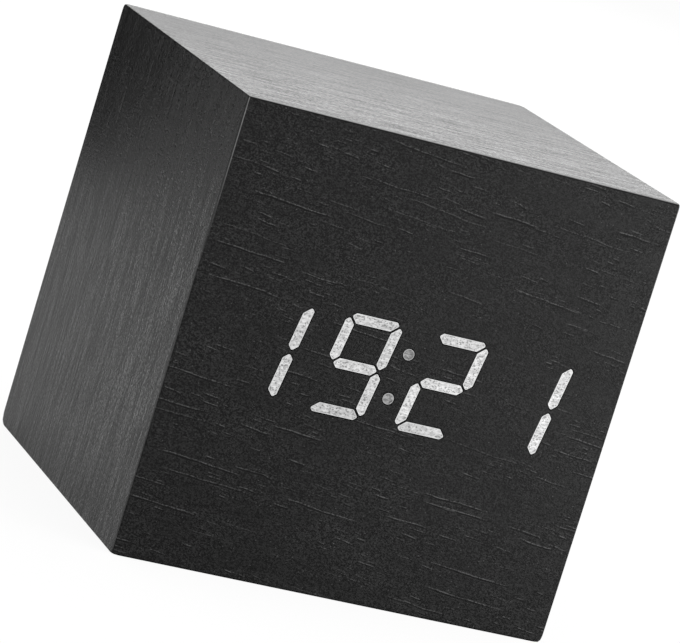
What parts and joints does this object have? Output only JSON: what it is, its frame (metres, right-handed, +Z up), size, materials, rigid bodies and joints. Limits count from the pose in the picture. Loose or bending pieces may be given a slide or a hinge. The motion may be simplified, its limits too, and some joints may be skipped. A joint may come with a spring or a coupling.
{
  "type": "digital alarm clock",
  "caption": "Cube desk alarm clock in black-stained wood veneer, with a segment display that shines through its front and a moulded rear cover with buttons, battery door and inlet.",
  "frame": {"origin": "middle of the base, on the surface that the clock stands on", "axes": "-Y out of the display's face, +X to the viewer's right, +Z up"},
  "size_m": [0.063, 0.061, 0.063],
  "materials": {
    "stained_veneer": "black stain, open grain, satin",
    "fibreboard": "sawn edge",
    "pine": "planed",
    "black_plastic": "fine moulded grain",
    "button_plastic": "satin moulded",
    "switch_plastic": "moulded",
    "lit_filling": "milky, lit from behind",
    "circuit_board": "solder mask",
    "chip": "moulded",
    "steel": "zinc plated",
    "nickel": "nickel plated",
    "cell_wrap": "printed film, plain",
    "ribbon": "flat cable jacket"
  },
  "bodies": {
    "case": {"front_veneer": "stained_veneer", "top_veneer": "stained_veneer", "bottom_veneer": "stained_veneer", "left_veneer": "stained_veneer", "right_veneer": "stained_veneer", "front_board": "fibreboard", "top_board": "fibreboard", "bottom_board": "fibreboard", "left_board": "fibreboard", "right_board": "fibreboard", "corner_block_upper_left": "pine", "corner_block_upper_right": "pine", "corner_block_lower_left": "pine", "corner_block_lower_right": "pine", "rear_cover": "black_plastic", "cover_screw_upper_left": "steel", "cover_screw_upper_right": "steel", "cover_screw_lower_left": "steel", "cover_screw_lower_right": "steel", "battery_lower": "cell_wrap", "battery_middle": "cell_wrap", "battery_upper": "cell_wrap", "spring_lower": "nickel", "spring_middle": "nickel", "spring_upper": "nickel", "contact_plate_left_lower": "nickel", "contact_plate_left_upper": "nickel", "contact_plate_right_lower": "nickel", "contact_plate_right_upper": "nickel", "switch_body_set": "switch_plastic", "switch_body_up": "switch_plastic", "switch_body_down": "switch_plastic", "main_board": "circuit_board", "board_screw_upper": "steel", "board_screw_lower": "steel", "controller_chip": "chip", "crystal": "nickel", "capacitor": "cell_wrap", "buzzer": "chip", "dc_socket": "black_plastic", "dc_pin": "nickel", "microphone": "steel", "display_housing": "black_plastic", "digit_guide_left": "lit_filling", "digit_guide_middle_left": "lit_filling", "digit_guide_middle_right": "lit_filling", "digit_guide_right": "lit_filling", "colon_guide": "lit_filling", "display_board": "circuit_board", "display_screw_upper": "steel", "display_screw_lower": "steel", "ribbon_cable": "ribbon"},
    "door": {"battery_door": "black_plastic"},
    "set_button": {"button_set": "button_plastic", "switch_plunger_set": "switch_plastic"},
    "up_button": {"button_up": "button_plastic", "switch_plunger_up": "switch_plastic"},
    "down_button": {"button_down": "button_plastic", "switch_plunger_down": "switch_plastic"}
  },
  "joints": [
    {"name": "battery_door_hinge", "type": "hinge", "parent": "case", "child": "door", "pos_m": [0, 0.0295, 0.0142], "axis": [-1, 0, 0], "range_deg": [0, 75]},
    {"name": "set_button_press", "type": "slide", "parent": "case", "child": "set_button", "axis": [0, -1, 0], "range_m": [0, 0.0004], "stiffness_N_per_m": 4000},
    {"name": "up_button_press", "type": "slide", "parent": "case", "child": "up_button", "axis": [0, -1, 0], "range_m": [0, 0.0004], "stiffness_N_per_m": 4000},
    {"name": "down_button_press", "type": "slide", "parent": "case", "child": "down_button", "axis": [0, -1, 0], "range_m": [0, 0.0004], "stiffness_N_per_m": 4000}
  ]
}
